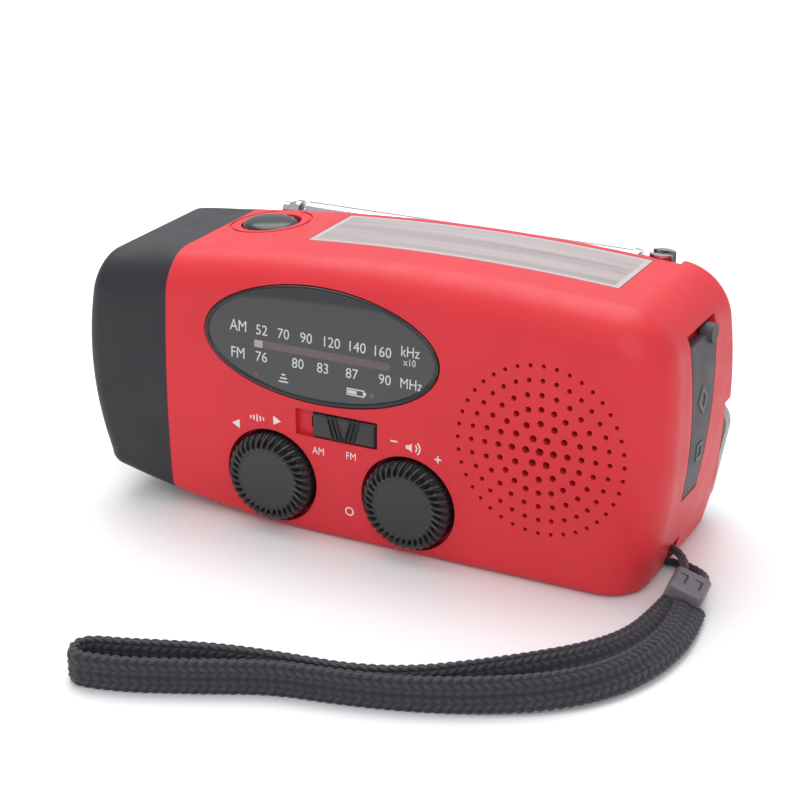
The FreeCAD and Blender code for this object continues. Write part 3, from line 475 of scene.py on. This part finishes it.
# The same points as the CAD's strap and thread: the strap's in plan, the thread's with heights.
STRAP = [(70.8, -24.6), (71.9, -31.5), (72.3, -39), (71.2, -48.4), (67.6, -58.4), (60.4, -67), (50.4, -73.4),
         (38.6, -78.6), (26.2, -82), (14, -84.2), (2.6, -89.8), (-8, -94.6), (-14.8, -96.6), (-18.9, -97.2),
         (-20.9, -95.3), (-20.9, -92.6), (-18.6, -90.9), (-14.6, -89.8), (-8, -87.2), (3, -83.2), (15, -81),
         (27, -79.4), (37.6, -75.4), (46.8, -68.6), (55, -61), (62, -53), (66.4, -44.4), (68, -35.2),
         (68.4, -25)]
THREAD_ROUND = 0.9
THREAD = [(66.8, -17.8, 4.4), (65.9, -13.4, 5.0), (63.4, -9.4, 5.4), (60.0, -7.5, 5.5), (56.2, -7.0, 5.4),
          (56.2, -6.0, 1.2), (60.0, -5.4, 1.1), (64.4, -6.2, 1.3), (68.2, -9.2, 1.8), (70.2, -13.4, 2.8),
          (70.6, -17.8, 3.8)]


def centre_line(name, controls, fine):
    """Points along a smooth curve through the route's corners, in metres."""
    curve = bpy.data.curves.new(name, "CURVE")
    curve.dimensions = "3D"
    curve.resolution_u = fine
    line = curve.splines.new("NURBS")
    line.points.add(len(controls) - 1)
    for point, control in zip(line.points, controls):
        point.co = (*(value * MM for value in control), 1)
    line.order_u = 3
    line.use_endpoint_u = True
    return [vertex.co.copy() for vertex in mesh_of(curve).vertices]


def walked(points):
    """How far along the line each point is, in the points' own unit."""
    runs = [0.0]
    for start, end in zip(points, points[1:]):
        runs.append(runs[-1] + (end - start).length)
    return runs


def every(points, step):
    """Points a fixed step apart along a line."""
    runs = walked(points)
    count = max(2, round(runs[-1] / step))
    spots, place = [], 0
    for index in range(count + 1):
        along = runs[-1] * index / count
        while place < len(runs) - 2 and runs[place + 1] < along:
            place += 1
        share = (along - runs[place]) / max(1e-9, runs[place + 1] - runs[place])
        spots.append(points[place].lerp(points[place + 1], min(1.0, share)))
    return spots


def smooth_step(value):
    value = min(1.0, max(0.0, value))
    return value * value * (3 - 2 * value)


def strap_roll(share):
    """The braid's lean from standing on edge, in radians: over one way as it leaves the clasp, upright along
    its far part, and over the other way as it comes back."""
    leaving = 1 - smooth_step(share / LEANING_SHARE)
    coming_back = 1 - smooth_step((1 - share) / LEANING_SHARE)
    return math.radians(END_LEAN) * (leaving - coming_back)


def braid_relief(along, share):
    """How far out a strand stands, 0 to 1, in rows of plaits that slant one way and then the other.
    along is in mm from the clasp, and share goes from 0 to 1 round the strap's section."""
    row, local = divmod(share * BRAID_ROWS, 1.0)
    slant = PLAIT_SLANT if row % 2 else -PLAIT_SLANT
    phase = along / BRAID_PITCH + slant * (local - 0.5)
    plait = abs(math.sin(math.pi * phase)) ** 0.75
    return plait * math.sin(math.pi * local) ** 0.45


def strap_section(steps):
    """Places round the strap's rounded section in mm, x across its width: each with its outward
    normal and how far round it is, from 0 to 1."""
    half_wide, half_thick = STRAP_WIDE / 2, STRAP_THICK / 2
    outline = []
    for angle in around(steps):
        c, s = math.cos(angle), math.sin(angle)
        x = half_wide * math.copysign(abs(c) ** 0.55, c)
        y = half_thick * math.copysign(abs(s) ** 0.75, s)
        outline.append(Vector((x, y, 0)))
    runs = walked(outline + outline[:1])
    rows = []
    for index, spot in enumerate(outline):
        way = (outline[(index + 1) % steps] - outline[index - 1]).normalized()
        rows.append((spot, Vector((way.y, -way.x, 0)), runs[index] / runs[-1]))
    return rows


def braided_strap():
    """The flat braid's closed surface, swept along the strap's centre line with its strands standing out."""
    up = Vector((0, 0, 1))
    lift = STRAP_WIDE / 2
    line = every(centre_line("strap_line", [(x, y, lift) for x, y in STRAP], 40), 0.00025)
    section = strap_section(96)
    rows, reliefs = [], []
    total = len(line) - 1
    along = 0.0
    for index, spot in enumerate(line):
        ahead = line[min(total, index + 1)] - line[max(0, index - 1)]
        way = ahead.normalized()
        side = way.cross(up).normalized()
        lean = strap_roll(index / total)
        wide = up * math.cos(lean) + side * math.sin(lean)
        thick = way.cross(wide).normalized()
        low = lift * abs(math.cos(lean)) + STRAP_THICK / 2 * abs(math.sin(lean)) + FLOOR_GAP
        if index:
            along += (spot - line[index - 1]).length / MM
        row = []
        for place, normal, share in section:
            relief = braid_relief(along, share)
            reliefs.append(relief)
            out = place + normal * (STRAND_HIGH * relief - STRAND_SUNK)
            point = Vector((spot.x, spot.y, low * MM)) + wide * (out.x * MM) + thick * (out.y * MM)
            point.z = max(point.z, FLOOR_GAP * MM)
            row.append(point)
        rows.append(row)
    points, faces = capped(rows)
    strap = piece_from("strap_braid", points, faces, braid_material(), "casing")
    # the relief also sets the braid's colour: painted shade, darker down between the strands
    shade = strap.data.attributes.new("relief", "FLOAT", "POINT")
    shade.data.foreach_set("value", reliefs + [0.0, 0.0])       # the last two are the ends' middles
    path = [(spot.x, spot.y, lift * MM) for spot in line[::6]]
    return strap, path, walked(line)[-1]


def round_cord(line, radius, steps=20, twist=3.2, depth=0.07):
    """A thin round cord with a fine twisted relief."""
    rows = []
    up = Vector((0, 0, 1))
    along = 0.0
    for index, spot in enumerate(line):
        way = (line[min(len(line) - 1, index + 1)] - line[max(0, index - 1)]).normalized()
        side = way.cross(up)
        side = side.normalized() if side.length > 0.05 else way.orthogonal().normalized()
        over = side.cross(way).normalized()
        if index:
            along += (spot - line[index - 1]).length / MM
        row = []
        for angle in around(steps):
            relief = depth * math.sin(3 * angle + twist * along)
            reach = (radius + relief - depth) * MM
            row.append(spot + (side * math.cos(angle) + over * math.sin(angle)) * reach)
        rows.append(row)
    return capped(rows)


def add_cords():
    strap, path, length = braided_strap()
    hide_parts("strap_band")
    thread_line = every(centre_line("thread_line", THREAD, 24), 0.0003)
    points, faces = round_cord(thread_line, THREAD_ROUND)
    thread = piece_from("strap_thread_cord", points, faces, thread_material(), "casing")
    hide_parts("strap_thread")


CLASP_AT = (69.0, -21.6, 4.2)
CLASP_LOW, CLASP_HIGH, CLASP_ROUND = (-3.7, -4.0, -2.4), (3.7, 4.2, 2.3), 0.9
CLASP_TURN = Matrix.Rotation(math.radians(6), 3, "Z") @ Matrix.Rotation(math.radians(20), 3, "Y")
HOOKS_FROM, HOOKS_TO = 2.2, 2.33        # heights in the clasp of the thin dark sheets that are painted shade for the hollows


def on_clasp(x, y, z):
    """A place in the frame from one in the clasp, in mm."""
    return (CLASP_TURN @ Vector((x, y, z)) + Vector(CLASP_AT)) * MM


def clasp_block(material):
    """A block with rounded edges, over the ends of the braid."""
    shell = bmesh.new()
    bmesh.ops.create_cube(shell, size=1.0)
    size = [top - bottom for bottom, top in zip(CLASP_LOW, CLASP_HIGH)]
    middle = [(top + bottom) / 2 for bottom, top in zip(CLASP_LOW, CLASP_HIGH)]
    for vertex in shell.verts:
        vertex.co = Vector([co * long + mid for co, long, mid in zip(vertex.co, size, middle)])
    bmesh.ops.bevel(shell, geom=shell.edges[:], offset=CLASP_ROUND, segments=6, profile=0.5, affect="EDGES")
    for vertex in shell.verts:
        vertex.co = on_clasp(*vertex.co)
    return shell_piece("clasp_block", shell, material, "casing")


def add_clasp():
    """The grey block, and two thin dark hook shapes on its top: painted shade where the clasp has hook-shaped
    hollows.
    """
    clasp = clasp_block(moulded("clasp_grey_look", (0.135, 0.12, 0.135), 0.36))
    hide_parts("strap_clasp")
    # painted shade: dark sheets standing in for the shade inside the two hollows
    dark = moulded("clasp_hollow_painted_shade", (0.03, 0.028, 0.03), 0.6)
    shell = bmesh.new()
    for offset in (-1.1, 1.9):
        hook = [(offset - 0.1, -1.9), (offset + 0.35, -1.9), (offset + 0.35, 1.5), (offset - 1.3, 1.5),
                (offset - 1.3, 1.05), (offset - 0.1, 1.05)]
        add_prism(shell, [on_clasp(x, y, HOOKS_FROM) for x, y in hook],
                  [on_clasp(x, y, HOOKS_TO) for x, y in hook])
    shell_piece("clasp_hook_shade", shell, dark, "casing", smooth=False)
    return clasp


# ---------------------------------------------------------------- knobs, slider and button
KNOB_LEVEL = 12.1
KNOBS = {"tuning": (-19.5, "tuning_knob"), "volume": (11.6, "volume_knob")}     # place across, CAD node
KNOB_RIM, KNOB_DISC, KNOB_FACE, KNOB_BACK = 9.6, 6.3, -28.6, -22.6
KNOB_RINGS = (0.02, 3.0, 5.6, 6.1, 6.25, 6.4, 6.6, 6.9, 7.2, 7.5, 7.8, 8.1, 8.4, 8.7, 8.95, 9.15, 9.3, 9.4)
KNOB_SIDES = ((2.8, 0.04), (3.4, 0.0), (4.2, 0.0), (KNOB_BACK - KNOB_FACE, 0.0))    # depth, inset
TEETH, STEPS_PER_TOOTH = 34, 12
DISC_DEPTH, GAP_DEPTH, RIM_FALL, NOTCH_DEPTH = 0.25, 1.5, 1.3, 0.4
BLADE_SWEEP = 0.9                       # in teeth, from the disc to the rim


def knob_front(radius, angle):
    """Depth in mm behind the knob's flat face: blades that rise around the disc and sweep to the rim."""
    if radius <= KNOB_DISC:
        return DISC_DEPTH
    out = (radius - KNOB_DISC) / (KNOB_RIM - KNOB_DISC)
    gap = 1 - knob_blade(angle, BLADE_SWEEP * out)
    return GAP_DEPTH * smooth_step(out / 0.3) * gap + RIM_FALL * smooth_step((out - 0.5) / 0.5) ** 1.3


def knob_blade(angle, sweep):
    """1 along the ridge of a blade and 0 in the gap between two, at a place round the knob."""
    phase = (angle * TEETH / (2 * math.pi) + sweep) % 1.0
    return abs(math.sin(math.pi * phase)) ** 0.85


def add_knob(body, centre, node, material):
    angles = around(TEETH * STEPS_PER_TOOTH)
    rows = []
    for radius in KNOB_RINGS:
        rows.append([mm(centre + radius * math.cos(angle), KNOB_FACE + knob_front(radius, angle),
                        KNOB_LEVEL + radius * math.sin(angle)) for angle in angles])
    for depth, inset in KNOB_SIDES:
        row = []
        for angle in angles:
            reach = KNOB_RIM - inset - NOTCH_DEPTH * (1 - knob_blade(angle, BLADE_SWEEP))
            row.append(mm(centre + reach * math.cos(angle), KNOB_FACE + depth,
                          KNOB_LEVEL + reach * math.sin(angle)))
        rows.append(row)
    points, faces = capped(rows)
    knob = piece_from(f"{body}_knob_blades", points, faces, material, body)
    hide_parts(node)


CAP_LEFT, CAP_RIGHT, CAP_LOW, CAP_TOP = -9.6, 4.8, 22.9, 28.2
CAP_FACE, CAP_BACK = -27.3, -25.2
CAP_ACROSS, CAP_UP = 150, 54            # steps of its face
RIDGES = (1.0, 1.95, 2.9)               # how far each pair is from the middle
RIDGE_HALF, RIDGE_HIGH, RIDGE_LEAN = 0.4, 0.58, 0.3
RIDGE_MARGIN, CAP_ROUND = 0.8, 0.55


def cap_depth(x, z):
    """Depth in mm of the slider's cap behind its face, at a place on it."""
    lean = abs(x - (CAP_LEFT + CAP_RIGHT) / 2) - RIDGE_LEAN * (z - (CAP_LOW + CAP_TOP) / 2)
    ridge = max(0.0, *(1 - abs(lean - place) / RIDGE_HALF for place in RIDGES))
    edge = min(x - CAP_LEFT, CAP_RIGHT - x, z - CAP_LOW, CAP_TOP - z)
    soft = 1 - min(1.0, edge / CAP_ROUND)
    inside = smooth_step(min(1.0, edge / RIDGE_MARGIN) * 1.2)
    return 0.6 - RIDGE_HIGH * smooth_step(ridge) * inside + 0.8 * soft ** 2


def add_band_cap(material):
    """The slider's cap: three slanted ridges each side that lean towards the middle, and rounded edges."""
    rows = []
    for step in range(CAP_UP + 1):
        z = CAP_LOW + (CAP_TOP - CAP_LOW) * step / CAP_UP
        row = []
        for index in range(CAP_ACROSS + 1):
            x = CAP_LEFT + (CAP_RIGHT - CAP_LEFT) * index / CAP_ACROSS
            row.append(mm(x, CAP_FACE + cap_depth(x, z), z))
        rows.append(row)
    points = flat(rows)
    faces = stitched(rows, close_across=False)
    count = CAP_ACROSS + 1
    border = (list(range(count))
              + [row * count + CAP_ACROSS for row in range(1, CAP_UP + 1)]
              + [CAP_UP * count + index for index in range(CAP_ACROSS - 1, -1, -1)]
              + [row * count for row in range(CAP_UP - 1, 0, -1)])
    first = len(points)
    points += [Vector((points[index].x, CAP_BACK * MM, points[index].z)) for index in border]
    for index in range(len(border)):
        beside = (index + 1) % len(border)
        faces.append((border[index], border[beside], first + beside, first + index))
    faces.append(tuple(range(first, first + len(border))))
    cap = piece_from("band_slider_cap", points, faces, material, "band")
    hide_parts("band_slider")


BUTTON_AT = (-34.9, 2.4)
BUTTON_PROFILE = ((0.02, 57.5), (1.5, 57.46), (3.0, 57.33), (4.2, 57.12), (5.1, 56.8), (5.7, 56.4),
                  (6.05, 55.9), (6.2, 55.2), (6.2, 47.7))       # radius and height


def add_torch_button(material):
    rows = []
    for radius, height in BUTTON_PROFILE:
        rows.append([mm(BUTTON_AT[0] + radius * math.cos(angle), BUTTON_AT[1] + radius * math.sin(angle),
                        height) for angle in around(96)])
    points, faces = capped(rows)
    dome = piece_from("torch_button_dome", points, faces, material, "torch_press")
    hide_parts("torch_button")


# ---------------------------------------------------------------- dial, casing marks and cover symbols
DIAL_MIDDLE, DIAL_HALF = (-8.2, 42.0), (25.9, 11.4)
DIAL_RIM_HALF, DIAL_RIM_PROUD = 0.5, 0.26
LAMP_ROUND = 0.62
ICONS = (                               # corners in y and z of a diamond and a square
    ((-7.2, 36.6), (-4.6, 39.6), (-2.0, 36.6), (-4.6, 33.6)),
    ((-6.2, 24.0), (-3.2, 24.0), (-3.2, 27.6), (-6.2, 27.6)),
)
ICON_INNER = 0.62                       # the inner outline's share of the outer
ICON_PROUD, ICON_SUNK = 0.25, 0.1


def dial_marks(tree):
    marks = Print(tree)
    for words, x in (("52", -21.3), ("70", -16.3), ("90", -11.1), ("120", -5.5), ("140", 0.2), ("160", 5.8)):
        marks.text(words, (x, 43.4), 3.0, wide=0.95)
    for words, x in (("76", -21.3), ("80", -12.9), ("83", -7.2), ("87", -0.7), ("90", 6.6)):
        marks.text(words, (x, 37.8), 3.0, wide=0.95)
    for words, x, z, size in (("AM", -26.7, 43.5, 3.3), ("FM", -26.8, 37.8, 3.3), ("kHz", 11.9, 44.3, 3.0),
                              ("MHz", 12.3, 37.8, 3.0)):
        marks.text(words, (x, z), size, wide=0.85)
    marks.text("x10", (11.9, 42.2), 2.0, wide=0.9)
    for width, lift in ((2.2, 0.0), (1.5, 0.75), (0.8, 1.5)):
        marks.bar(width, 0.32, (-16.2, 33.5 + lift))
    battery = [(-2.1, -0.75), (1.8, -0.75), (1.8, -0.5), (-1.85, -0.5), (-1.85, 0.5), (1.8, 0.5), (1.8, 0.75),
               (-2.1, 0.75)]
    marks.outline(battery, (0.3, 34.1))
    marks.bar(0.3, 1.5, (2.0, 34.1))
    marks.bar(0.35, 0.7, (2.35, 34.1))
    marks.bar(1.9, 0.7, (-0.5, 34.1))
    marks.finish("dial_print", plain_print("dial_white", (0.62, 0.62, 0.63)))


def case_marks(tree):
    marks = Print(tree)
    marks.outline([(-1.0, 0), (0.8, 1.0), (0.8, -1.0)], (-27.5, 22.4))
    marks.outline([(1.0, 0), (-0.8, -1.0), (-0.8, 1.0)], (-17.9, 24.7))
    for index, high in enumerate((0.7, 1.1, 1.6, 1.1, 0.7)):
        marks.bar(0.32, high, (-24.0 + 0.75 * index, 24.5))
    marks.text("AM", (-8.35, 19.8), 2.3, wide=0.85)
    marks.text("FM", (-0.9, 20.1), 2.3, wide=0.85)
    marks.bar(1.5, 0.32, (8.8, 25.4))
    marks.bar(1.5, 0.32, (18.4, 23.3))
    marks.bar(0.32, 1.5, (18.4, 23.3))
    for radius in (0.9, 1.6):
        marks.ring(radius, 0.3, (12.9, 24.7), -50, 50)
    loudspeaker = [(-0.9, -0.4), (-0.3, -0.4), (0.4, -0.95), (0.4, 0.95), (-0.3, 0.4), (-0.9, 0.4)]
    marks.outline(loudspeaker, (12.3, 24.7))
    marks.ring(0.85, 0.3, (-1.7, 7.6))
    marks.finish("case_print", plain_print("case_white", (0.78, 0.70, 0.70)))


def add_slot_bar(tree):
    """The tuning scale's bar with round ends, and the pale pointer that travels along it."""
    half_long, half_high, level, middle = 15.5, 0.8, 40.6, -7.8
    ends = [(half_long * side - half_high * side + half_high * math.cos(math.radians(turn)),
             half_high * math.sin(math.radians(turn)))
            for side, first in ((1, -90), (-1, 90)) for turn in range(first, first + 181, 30)]
    bar = Print(tree, 0.00003)
    bar.outline(ends, (middle, level))
    bar.finish("dial_bar", moulded("dial_bar_look", (0.115, 0.085, 0.095), 0.35))
    start = Print(tree, 0.00005, lift=0.00012)
    start.bar(1.9, 1.5, (middle - half_long + 1.4, level))
    start.finish("pointer_face", moulded("pointer_pale", (0.36, 0.33, 0.33), 0.4), "pointer")


def add_dial_rim(tree, material):
    """A narrow rounded rim that stands proud around the dial's oval window."""
    steps, beads = 160, 10
    rows = []
    for step in range(steps + 1):
        angle = 2 * math.pi * step / steps
        way = Vector((-DIAL_HALF[0] * math.sin(angle), 0, DIAL_HALF[1] * math.cos(angle))).normalized()
        out = Vector((way.z, 0, -way.x))
        x = (DIAL_MIDDLE[0] + DIAL_HALF[0] * math.cos(angle)) * MM
        z = (DIAL_MIDDLE[1] + DIAL_HALF[1] * math.sin(angle)) * MM
        spot = Vector((x, front_depth(tree, x, z), z))
        rows.append([spot + out * (DIAL_RIM_HALF * MM * math.cos(turn))
                     + mm(0, -DIAL_RIM_PROUD * math.sin(turn), 0) for turn in around(beads)])
    piece_from("dial_rim", flat(rows), stitched(rows), material, "casing")


def add_lamp(tree, name, at, colour):
    lamp = Print(tree, 0.00006)
    lamp.outline([(LAMP_ROUND * math.cos(angle), LAMP_ROUND * math.sin(angle)) for angle in around(24)], at)
    lamp.finish(name, moulded(f"{name}_look", colour, 0.15, coat=0.8))


def add_cover_icons():
    """A diamond and a square, raised as narrow frames on the rubber cover over the sockets."""
    tree = surface_of("socket_cover")
    shell = bmesh.new()
    for outline in ICONS:
        middle_y = sum(y for y, _ in outline) / len(outline)
        middle_z = sum(z for _, z in outline) / len(outline)
        rings = []
        for share in (1.0, ICON_INNER):
            ring = []
            for y, z in outline:
                place = mm(80, middle_y + (y - middle_y) * share, middle_z + (z - middle_z) * share)
                hit = tree.ray_cast(place, Vector((-1, 0, 0)))[0]
                ring.append(Vector((hit.x, place.y, place.z)))
            rings.append(ring)
        outer, inner = rings
        for index in range(len(outline)):
            beside = (index + 1) % len(outline)
            quad = [outer[index], outer[beside], inner[beside], inner[index]]
            add_prism(shell, [point - mm(ICON_SUNK, 0, 0) for point in quad],
                      [point + mm(ICON_PROUD, 0, 0) for point in quad])
    look = moulded("cover_icon_look", (0.12, 0.11, 0.115), 0.5)
    shell_piece("cover_icons", shell, look, "flap", smooth=False)


# ---------------------------------------------------------------- finishes of the CAD's own solids
def body_red():
    red = moulded("red_abs", (0.64, 0.028, 0.038), 0.44, grain=2600, depth=0.000012, vary=0.03)
    shader_of(red).inputs["Specular IOR Level"].default_value = 0.3
    return red


def frame_looks():
    """One material for each slot that the record names."""
    return {
        "red_body": body_red(),
        "black_body": moulded("black_abs", (0.012, 0.010, 0.014), 0.55, grain=2600, depth=0.00003),
        "gloss_black": moulded("gloss_black_look", (0.006, 0.006, 0.008), 0.14, depth=0.000002, coat=0.15),
        "black_knob": moulded("knob_black", (0.015, 0.014, 0.017), 0.30, depth=0.000006, coat=0.15),
        "clear_window": moulded("window_smoke", (0.02, 0.02, 0.022), 0.06, depth=0.000002, coat=0.6),
        "clear_lens": clear("lens_clear", 0.08),
        "mirror_plating": turned_metal("mirror", (0.88, 0.88, 0.90), 0.08),
        "white_pointer": moulded("pointer_white", (0.75, 0.75, 0.74), 0.4),
        "solar_film": solar_material(),
        "solar_blue": moulded("solar_cell_look", (0.05, 0.05, 0.09), 0.25),
        "rubber_cover": moulded("rubber_grey", (0.062, 0.055, 0.059), 0.58, grain=2000, depth=0.00004),
        # the crank's mid grey is partly painted reflection: set light to match the light, pinkish streak
        # along the arm's glossy side
        "grey_plastic": moulded("crank_grey_with_painted_reflection", (0.33, 0.32, 0.31), 0.45),
        "white_plastic": moulded("white_nylon", (0.72, 0.71, 0.68), 0.4),
        "circuit_board": moulded("board_green", (0.02, 0.13, 0.06), 0.4),
        "chrome_steel": turned_metal("chrome", (0.56, 0.56, 0.58), 0.16),
        "plain_steel": turned_metal("steel", (0.45, 0.45, 0.46), 0.32),
        "brass_part": turned_metal("brass", (0.62, 0.44, 0.18), 0.28),
        "paper_cone": moulded("cone_paper", (0.012, 0.010, 0.010), 0.9, grain=1500, depth=0.00008),
        "ferrite": moulded("ferrite_black", (0.03, 0.03, 0.032), 0.6),
        "copper_coil": turned_metal("copper", (0.68, 0.28, 0.14), 0.35),
        "cell_sleeve": moulded("cell_green", (0.03, 0.16, 0.08), 0.35),
        "led_clear": clear("led_clear_look", 0.12),
        "braid": braid_material(),
        "clasp_grey": moulded("clasp_frame_look", (0.34, 0.34, 0.35), 0.42),
    }


def finish_frame(looks):
    for part in frame["record"]["subparts"]:
        mesh = frame["nodes"][part["node"]].data
        look = looks[part["material_slot"]]
        if mesh.materials:
            mesh.materials[0] = look
        else:
            mesh.materials.append(look)


looks = frame_looks()
finish_frame(looks)
add_camera()
add_stage()
clasp_piece = add_clasp()
add_cords()
for body, (centre, node) in KNOBS.items():
    add_knob(body, centre, node, looks["black_knob"])
add_band_cap(looks["black_knob"])
add_torch_button(moulded("button_black", (0.014, 0.014, 0.016), 0.26, depth=0.000004))
front = surface_of("front_shell", "dial_window")
dial_marks(front)
case_marks(front)
add_slot_bar(front)
add_dial_rim(front, looks["gloss_black"])
add_lamp(front, "lamp_left", (-22.4, 34.1), (0.10, 0.012, 0.012))
add_lamp(front, "lamp_right", (3.85, 34.1), (0.06, 0.05, 0.02))
add_cover_icons()
